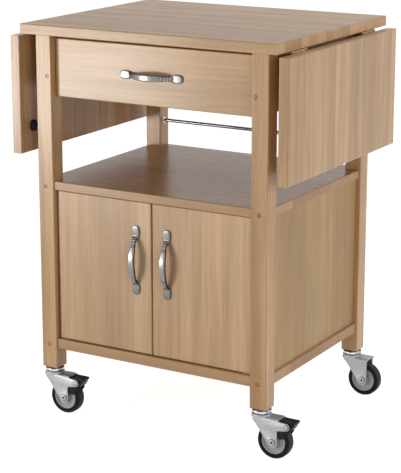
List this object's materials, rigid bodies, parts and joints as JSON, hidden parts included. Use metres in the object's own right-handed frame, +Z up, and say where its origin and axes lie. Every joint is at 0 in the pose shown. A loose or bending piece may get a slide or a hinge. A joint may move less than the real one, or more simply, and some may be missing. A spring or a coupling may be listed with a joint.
{
  "type": "drop leaf kitchen island",
  "caption": "Wooden kitchen cart on casters with drop leaves that fold up on stays, a drawer, an open shelf with a rod, a two-door cupboard and foot brakes.",
  "frame": {"origin": "on the floor, under the middle of the top", "axes": "+X to the right seen from the drawer side, +Y from the drawer side to the back, +Z up"},
  "size_m": [0.6717, 0.506, 0.86],
  "materials": {
    "black_plastic": "black moulded plastic",
    "chrome": "polished chrome plate",
    "drawer_wood": "pale unfinished hardwood",
    "frame_wood": "solid light hardwood, satin lacquer",
    "front_wood": "light wood boards, satin lacquer",
    "hinge_steel": "yellow zinc plated steel, dulled",
    "hub_plastic": "grey moulded plastic",
    "leaf_wood": "solid glued-up light hardwood staves, satin lacquer",
    "nickel": "satin nickel",
    "panel_wood": "light wood panel, satin lacquer",
    "plug_wood": "wood plug, a little darker than the posts",
    "rubber": "black rubber",
    "runner_wood": "waxed hardwood",
    "shelf_wood": "light wood, glossier lacquer",
    "tyre_rubber": "black rubber tyre",
    "worktop_wood": "solid glued-up light hardwood staves, satin lacquer",
    "zinc_steel": "bright zinc plated pressed steel"
  },
  "bodies": {
    "root": {"tabletop": "worktop_wood", "front_left_post": "frame_wood", "front_right_post": "frame_wood", "back_left_post": "frame_wood", "back_right_post": "frame_wood", "left_apron": "frame_wood", "right_apron": "frame_wood", "back_apron": "frame_wood", "open_shelf": "shelf_wood", "bottom_board": "shelf_wood", "left_side_panel": "panel_wood", "right_side_panel": "panel_wood", "back_panel": "panel_wood", "inner_shelf": "panel_wood", "shelf_pins": "zinc_steel", "drawer_runners": "runner_wood", "guard_rod": "chrome", "wood_plugs": "plug_wood", "table_hinge_plates": "hinge_steel", "leaf_hinge_pins": "hinge_steel", "stay_apron_brackets": "zinc_steel", "door_pivot_plates": "hinge_steel", "door_catches": "black_plastic", "caster_stems": "chrome"},
    "left_leaf": {"left_leaf": "leaf_wood", "left_leaf_fittings": "hinge_steel", "left_leaf_bumpers": "rubber"},
    "left_stay_arms": {"left_stay_arms": "zinc_steel"},
    "left_stay_links": {"left_stay_links": "zinc_steel"},
    "right_leaf": {"right_leaf": "leaf_wood", "right_leaf_fittings": "hinge_steel", "right_leaf_bumpers": "rubber"},
    "right_stay_arms": {"right_stay_arms": "zinc_steel"},
    "right_stay_links": {"right_stay_links": "zinc_steel"},
    "drawer": {"drawer_front": "front_wood", "drawer_sides": "drawer_wood", "drawer_back": "drawer_wood", "drawer_bottom": "drawer_wood", "drawer_pull": "nickel"},
    "left_door": {"left_door": "front_wood", "left_door_pull": "nickel", "left_door_strike": "zinc_steel"},
    "right_door": {"right_door": "front_wood", "right_door_pull": "nickel", "right_door_strike": "zinc_steel"},
    "front_left_fork": {"front_left_fork": "zinc_steel"},
    "front_left_wheel": {"front_left_hub": "hub_plastic", "front_left_tyre": "tyre_rubber"},
    "front_left_brake": {"front_left_brake_pedal": "black_plastic"},
    "front_right_fork": {"front_right_fork": "zinc_steel"},
    "front_right_wheel": {"front_right_hub": "hub_plastic", "front_right_tyre": "tyre_rubber"},
    "front_right_brake": {"front_right_brake_pedal": "black_plastic"},
    "back_left_fork": {"back_left_fork": "zinc_steel"},
    "back_left_wheel": {"back_left_hub": "hub_plastic", "back_left_tyre": "tyre_rubber"},
    "back_right_fork": {"back_right_fork": "zinc_steel"},
    "back_right_wheel": {"back_right_hub": "hub_plastic", "back_right_tyre": "tyre_rubber"}
  },
  "joints": [
    {"name": "left_leaf_hinge", "type": "hinge", "parent": "root", "child": "left_leaf", "pos_m": [-0.305, 0, 0.8348], "axis": [0, 1, 0], "range_deg": [0, 90]},
    {"name": "left_stay_arm_pivot", "type": "hinge", "parent": "root", "child": "left_stay_arms", "pos_m": [-0.265, 0, 0.7948], "axis": [0, 1, 0], "range_deg": [0, 101]},
    {"name": "left_stay_link_pivot", "type": "hinge", "parent": "left_leaf", "child": "left_stay_links", "pos_m": [-0.3012, 0, 0.7468], "axis": [0, 1, 0], "range_deg": [-110.5, 0]},
    {"name": "right_leaf_hinge", "type": "hinge", "parent": "root", "child": "right_leaf", "pos_m": [0.305, 0, 0.8348], "axis": [0, -1, 0], "range_deg": [0, 90]},
    {"name": "right_stay_arm_pivot", "type": "hinge", "parent": "root", "child": "right_stay_arms", "pos_m": [0.265, 0, 0.7948], "axis": [0, -1, 0], "range_deg": [0, 101]},
    {"name": "right_stay_link_pivot", "type": "hinge", "parent": "right_leaf", "child": "right_stay_links", "pos_m": [0.3012, 0, 0.7468], "axis": [0, -1, 0], "range_deg": [-110.5, 0]},
    {"name": "drawer_slide", "type": "slide", "parent": "root", "child": "drawer", "axis": [0, -1, 0], "range_m": [0, 0.28]},
    {"name": "left_door_pivot", "type": "hinge", "parent": "root", "child": "left_door", "pos_m": [-0.23, -0.22, 0.34], "axis": [0, 0, -1], "range_deg": [0, 100]},
    {"name": "right_door_pivot", "type": "hinge", "parent": "root", "child": "right_door", "pos_m": [0.23, -0.22, 0.34], "axis": [0, 0, 1], "range_deg": [0, 100]},
    {"name": "front_left_swivel", "type": "hinge", "parent": "root", "child": "front_left_fork", "pos_m": [-0.259, -0.217, 0.095], "axis": [0, 0, 1], "continuous": true},
    {"name": "front_left_axle", "type": "hinge", "parent": "front_left_fork", "child": "front_left_wheel", "pos_m": [-0.226, -0.217, 0.0375], "axis": [0, 1, 0], "continuous": true},
    {"name": "front_left_brake_pivot", "type": "hinge", "parent": "front_left_fork", "child": "front_left_brake", "pos_m": [-0.194, -0.217, 0.076], "axis": [0, 1, 0], "range_deg": [0, 16]},
    {"name": "front_right_swivel", "type": "hinge", "parent": "root", "child": "front_right_fork", "pos_m": [0.259, -0.217, 0.095], "axis": [0, 0, 1], "continuous": true},
    {"name": "front_right_axle", "type": "hinge", "parent": "front_right_fork", "child": "front_right_wheel", "pos_m": [0.292, -0.217, 0.0375], "axis": [0, 1, 0], "continuous": true},
    {"name": "front_right_brake_pivot", "type": "hinge", "parent": "front_right_fork", "child": "front_right_brake", "pos_m": [0.324, -0.217, 0.076], "axis": [0, 1, 0], "range_deg": [0, 16]},
    {"name": "back_left_swivel", "type": "hinge", "parent": "root", "child": "back_left_fork", "pos_m": [-0.259, 0.217, 0.095], "axis": [0, 0, 1], "continuous": true},
    {"name": "back_left_axle", "type": "hinge", "parent": "back_left_fork", "child": "back_left_wheel", "pos_m": [-0.226, 0.217, 0.0375], "axis": [0, 1, 0], "continuous": true},
    {"name": "back_right_swivel", "type": "hinge", "parent": "root", "child": "back_right_fork", "pos_m": [0.259, 0.217, 0.095], "axis": [0, 0, 1], "continuous": true},
    {"name": "back_right_axle", "type": "hinge", "parent": "back_right_fork", "child": "back_right_wheel", "pos_m": [0.292, 0.217, 0.0375], "axis": [0, 1, 0], "continuous": true}
  ],
  "couplings": [
    {"joint": "left_stay_arm_pivot", "follows": "left_leaf_hinge", "ratio": 1.1213},
    {"joint": "left_stay_link_pivot", "follows": "left_leaf_hinge", "ratio": -1.2268},
    {"joint": "right_stay_arm_pivot", "follows": "right_leaf_hinge", "ratio": 1.1213},
    {"joint": "right_stay_link_pivot", "follows": "right_leaf_hinge", "ratio": -1.2268}
  ]
}
